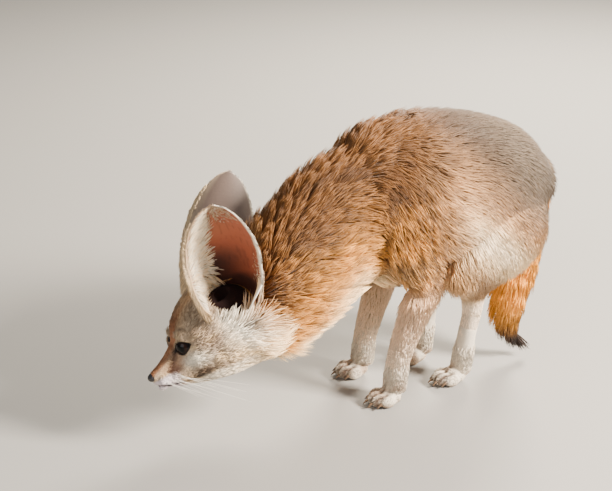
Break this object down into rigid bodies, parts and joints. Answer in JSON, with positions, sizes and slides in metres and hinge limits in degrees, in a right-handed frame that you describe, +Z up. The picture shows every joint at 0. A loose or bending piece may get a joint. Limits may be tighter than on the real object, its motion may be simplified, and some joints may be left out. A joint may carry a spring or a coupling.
{
  "type": "fennec fox figure",
  "caption": "Life-size fennec fox standing with its feet bunched, back arched, neck stretched forward and head lowered; very large upright ears, brush tail hanging.",
  "frame": {"origin": "centre of the model's bounding box in plan, at the level of the floor it stands on", "axes": "+Z up; the fox faces -X, its left side looks towards -Y; X is its longest extent"},
  "size_m": [0.3326, 0.119, 0.2065],
  "materials": {
    "ear": "soft",
    "eye": "glossy",
    "fur": "soft",
    "nose": "satin",
    "pale_fur": "soft",
    "tail": "soft"
  },
  "bodies": {
    "root": {"head": "fur", "hindquarters": "fur", "left_ear": "ear", "left_eye": "eye", "left_fore_paw": "pale_fur", "left_foreleg": "pale_fur", "left_hind_leg": "pale_fur", "left_hind_paw": "pale_fur", "lower_jaw": "pale_fur", "neck": "fur", "nose": "nose", "right_ear": "ear", "right_eye": "eye", "right_fore_paw": "pale_fur", "right_foreleg": "pale_fur", "right_hind_leg": "pale_fur", "right_hind_paw": "pale_fur", "tail": "tail", "torso": "fur"}
  },
  "joints": []
}
